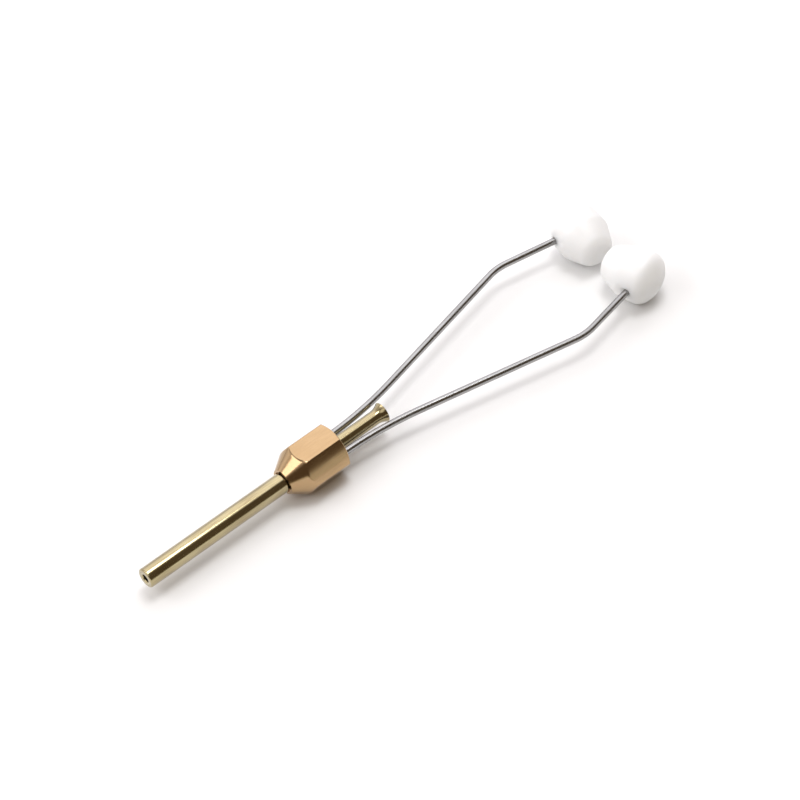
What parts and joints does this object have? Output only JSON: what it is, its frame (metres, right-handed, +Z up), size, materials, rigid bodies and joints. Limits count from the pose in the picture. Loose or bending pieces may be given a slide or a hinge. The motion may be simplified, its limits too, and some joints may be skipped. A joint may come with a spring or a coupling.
{
  "type": "bobbin holder for fly tying",
  "caption": "Fly tying bobbin holder: a brass thread tube in a hexagonal collar, and two sprung wire arms whose white plastic feet hold a thread spool.",
  "frame": {"origin": "on the table, under the middle of the holder's length and width", "axes": "+X along the thread tube from its tip towards the feet, +Y to the left arm, +Z up, with the arms lying flat"},
  "size_m": [0.1048, 0.0224, 0.0092],
  "materials": {
    "collar_brass": "turned, bright",
    "tube_brass": "drawn, polished",
    "spring_steel": "drawn, bright",
    "foot_plastic": "satin, slightly translucent"
  },
  "bodies": {
    "frame": {"collar": "collar_brass", "barrel_tube": "tube_brass", "thread_tube": "tube_brass", "left_wire_root": "spring_steel", "right_wire_root": "spring_steel"},
    "left_arm": {"left_arm_wire": "spring_steel", "left_foot": "foot_plastic"},
    "right_arm": {"right_arm_wire": "spring_steel", "right_foot": "foot_plastic"}
  },
  "joints": [
    {"name": "left_arm_flex", "type": "hinge", "parent": "frame", "child": "left_arm", "pos_m": [-0.01426, 0.00215, 0.0046], "axis": [0, 0, 1], "range_deg": [0, 14], "stiffness_Nm_per_rad": 0.9},
    {"name": "right_arm_flex", "type": "hinge", "parent": "frame", "child": "right_arm", "pos_m": [-0.01426, -0.00215, 0.0046], "axis": [0, 0, -1], "range_deg": [0, 14], "stiffness_Nm_per_rad": 0.9}
  ]
}
